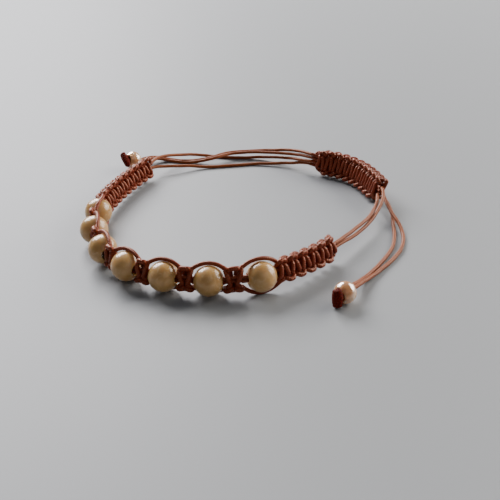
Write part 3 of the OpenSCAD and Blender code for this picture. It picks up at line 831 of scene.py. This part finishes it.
def closingTurn(row, last):
    # Where a row of knots begins or ends, the cord goes round the edge and is tucked in behind.
    # From the row's end on: how far along, share of the height there, and depth. A strand that ends
    # in a hump in front leaves that hump out.
    hump = weave["endHump"] if row[-1 if last else 0, 2] > 0.5 else 0
    row = row[:len(row) - hump] if last else row[hump:]
    s, w, n = row[-1 if last else 0]
    side = 1 if last else -1
    behind = -weave["coreRadius"] - weave["packedRadius"]
    if hump:
        steps = [(0.18, 1.02, 0.78 * n), (0.28, 1.06, 0.2), (0.3, 0.92, 0.7 * behind),
                 (0.3, 0.6, behind), (0.3, 0.2, behind)]
    else:
        steps = [(0.34, 0.97, n), (0.40, 0.78, 1.1 * behind), (0.36, 0.45, behind), (0.3, 0.2, behind)]
    turn = np.array([(s + side * a, w * b, c) for a, b, c in steps])
    return np.vstack([row, turn]) if last else np.vstack([turn[::-1], row])


# How the knotting cord passes a bead
loops = {
    "radius": 0.42,        # thinner than in the knots, where it is spread
    "swell": 8,            # power by which it thickens towards the knots
    # between each bead and the arc over it
    "upperGap": [0.02, 0.02, 0.02, 0.02, 0.03, 0.05, 0.12],
    "lowerGap": 0.01,      # between a bead and the arc under it
    "upperLean": 17.0,     # degrees inwards
    "ease": 0.7,           # less for an arc that hugs the bead sooner
    "points": 14,
}


def roundBead(i, startPoint, endPoint, upper):
    # From one knot to the next round the bead: swing from end to end, with the distance from the
    # bead's middle and the lean eased to their values at the top, or at the bottom, by a power of
    # sin(pi t).
    middle, axes = beadFrame(i)
    r = loops["radius"]
    ends = [(np.asarray(p) - middle) @ axes.T for p in (startPoint, endPoint)]
    sign = 1 if upper else -1
    swing = [math.atan2(math.hypot(e[1], e[2]), -e[0]) for e in ends]
    reach = [np.linalg.norm(e) for e in ends]
    lean = [math.atan2(e[1], sign * e[2]) for e in ends]
    clear = bead["diameter"] / 2 + r
    if upper:
        midReach, midLean = clear + loops["upperGap"][i], -math.radians(loops["upperLean"])
    else:
        # as low as the floor allows: behind the bead's lower side, and in front of the last one's
        midReach = clear + loops["lowerGap"]
        midLean = math.acos(min(1.0, (middle[2] - r) / midReach)) * (1 if i == beadCount - 1 else -1)
    t = np.linspace(0, 1, loops["points"] + 2)[1:-1]
    ease = np.sin(np.pi * t) ** loops["ease"]
    a = swing[0] + (swing[1] - swing[0]) * t
    distance = (reach[0] + (reach[1] - reach[0]) * t) * (1 - ease) + midReach * ease
    tilt = (lean[0] + (lean[1] - lean[0]) * t) * (1 - ease) + midLean * ease
    local = np.stack([-distance * np.cos(a), distance * np.sin(a) * np.sin(tilt),
                      sign * distance * np.sin(a) * np.cos(tilt)], axis=1)
    return middle + local @ axes


def knottingStrand(cell, knot, period, upper):
    # The whole knotting cord on one side, as (piece name, points) in order
    margin, trim, shape = band["endMargin"], weave["trim"], beadKnotShape
    left = rowOfKnots(cell, period, band["leftKnots"], margin, band["leftLength"] - margin)
    right = rowOfKnots(cell, period, band["rightKnots"], bandEnds[-1] - band["rightLength"],
                       band["rightLength"] - margin)
    left = leaned(closingTurn(left, False), band["leftLean"])[:-trim]
    right = leaned(closingTurn(right, True), band["rightLean"])[trim:]
    stretches = [("sennit_left", onBand(*left.T))]
    knots = []
    for i, row in enumerate(band["beadRows"][:-1]):
        # a tight knot is smaller all round, and its V closes towards the top
        s, w, n = (knot / (shape["length"], 1, 1)).T
        tight = 1 - row[4]
        closed = shape["tightClosing"] * tight * np.clip(w / shape["closingHeight"], 0, 1) * upper
        s = 0.5 + (s - 0.5) * (1 - closed)
        w = w * (1 - shape["tightLower"] * tight) + shape["lift"]
        n = n * (1 - shape["tightThinner"] * tight)
        knots.append(onBand(bandEnds[1 + i] + beadHalf + s * row[2], w, n))
    knots.append(onBand(*right.T))
    for i, nextKnot in enumerate(knots):
        stretches.append((f"bead_loops_{i + 1}", roundBead(i, stretches[-1][1][-1], nextKnot[0], upper)))
        stretches.append((f"knot_{i + 1}" if i < beadCount - 1 else "sennit_right", nextKnot))
    return stretches


def cutStrand(stretches):
    # One even line through all stretches, cut again where one piece ends and the next begins
    line = smoothLine(np.vstack([points for name, points in stretches]))
    s = lengthAlong(line)
    even = evenLine(line, ringStep)
    at = np.linspace(0, s[-1], len(even))
    pieces = {}
    first, passed = 0, 0
    for name, points in stretches:
        passed += len(points)
        # an arc past a bead runs on to the next knot's first point
        last = passed if name.startswith("bead_loops") else passed - 1
        cut = s[min(last * pointsPerSpan, len(s) - 1)]
        second = round(cut / s[-1] * (len(even) - 1))
        pieces[name] = (even[first:second + 1], at[first:second + 1])
        first = second
    return pieces


def coreHeights(count):
    # one pitch apart, and as many above the middle as below it
    return (np.arange(count) - (count - 1) / 2) * weave["corePitch"]


def coreShells(place, heights, s0, s1):
    # The straight strands that the knots close on: a tube at each height w, through place(s, w) for
    # s from s0 to s1
    lines = [evenLine(place(np.linspace(s0, s1, weave["corePoints"]), w), ringStep) for w in heights]
    return [braidedTube(line, weave["coreRadius"], sides=weave["coreSides"]) for line in lines]


period = (band["leftLength"] - band["endMargin"]) / band["leftKnots"]
upperCell, lowerCell = fitSize(squareKnot(period, weave["bandHalf"]), band["height"], band["thickness"])
upperKnot, lowerKnot = fitSize(beadKnot(), band["knotHeight"], band["knotThickness"])
print("square knots pulled tight")
shells = {}
for cell, knot, upper in ((upperCell, upperKnot, True), (lowerCell, lowerKnot, False)):
    for name, (line, along) in cutStrand(knottingStrand(cell, knot, period, upper)).items():
        isLoop = name.startswith("bead_loops")
        fromMiddle = np.linspace(-1, 1, len(line)) ** loops["swell"] if isLoop else 1.0
        radius = loops["radius"] + (weave["cordRadius"] - loops["radius"]) * fromMiddle
        shells.setdefault(name, []).append(braidedTube(line, radius, along))
heights = coreHeights(2)
shells["sennit_left"] += coreShells(onBand, heights, 0, band["leftLength"])
shells["sennit_right"] += coreShells(onBand, heights, bandEnds[-1] - band["rightLength"], bandEnds[-1])
shells["core_cords"] = []
for i, row in enumerate(band["beadRows"]):
    before, after = bandEnds[1 + i] - beadHalf - row[0], bandEnds[1 + i] + beadHalf
    shells["core_cords"] += coreShells(onBand, heights - bead["drop"], before, after)
    if i < beadCount - 1:
        shells[f"knot_{i + 1}"] += coreShells(onBand, heights, after, after + row[2])
for name, parts in shells.items():
    meshPiece(name, parts, shadedKnotFinish)
print("band made:", len(shells), "pieces")

# The sliding knot, its front towards the inside of the loop. Its tip is the left end.
slider = {
    "start": (32.7, 7.2, 101.0),
    "length": 25.0,
    "turns": ((0.35, 10.0), (0.35, 28.0), (0.30, 38.0)),     # share of the length, and degrees
    "height": 6.4,
    "thickness": 2.9,
    "knots": 10,
    "endMargin": 0.9,
    "lean": 16.0,
    "lift": 0.17,          # keeps the leaning knots off the floor
    "slant": 0.10,         # how far its knots lean towards the right end, for each mm of height
    "tipLength": 3.6,
    "tipDraw": 0.55,       # share of its size that it loses there
    "tipRise": 0.6,
    "tipShift": 0.62,
    "tipSpread": 0.08,     # share by which the strands inside spread there
    "strandEnds": (-0.25, 25.35),    # where the loose ends and the strands of the loop take over
}
sliderRows = [(slider["length"] * share, turn) for share, turn in slider["turns"]]


def onSlider(s, w=0.0, n=0.0, draw=slider["tipDraw"]):
    # Towards its tip the sliding knot draws in, rises and moves outwards, by the square of the way
    # along the tip.
    s, w, n = np.broadcast_arrays(*[np.asarray(v, float) for v in (s, w, n)])
    way = (s - slider["length"] + slider["tipLength"]) / slider["tipLength"]
    tip = np.maximum(way, 0) ** 2
    size = 1 - draw * tip
    return besideArcs(sliderRows, slider["start"], s,
                      slider["height"] / 2 + w * size + slider["tipRise"] * tip,
                      n * size + slider["tipShift"] * tip)


def insideSlider(s, w):
    # the strands inside spread a little where they come out at the tip
    return onSlider(s, w, 0.0, -slider["tipSpread"])


knotsLength = slider["length"] - 2 * slider["endMargin"]
period = knotsLength / slider["knots"]
parts = []
for cell in fitSize(squareKnot(period, weave["sliderHalf"]), slider["height"], slider["thickness"]):
    row = rowOfKnots(cell, period, slider["knots"], slider["endMargin"], knotsLength)
    row = leaned(closingTurn(closingTurn(row, False), True) * (1, 1, -1), slider["lean"])
    row[:, 1] += slider["lift"]
    row[:, 0] -= slider["slant"] * row[:, 1]
    parts.append(braidedTube(cordLine(onSlider(*row.T)), weave["cordRadius"]))
parts += coreShells(insideSlider, coreHeights(4), *slider["strandEnds"])
meshPiece("sliding_knot", parts, shadedKnotFinish)
print("sliding knot made")
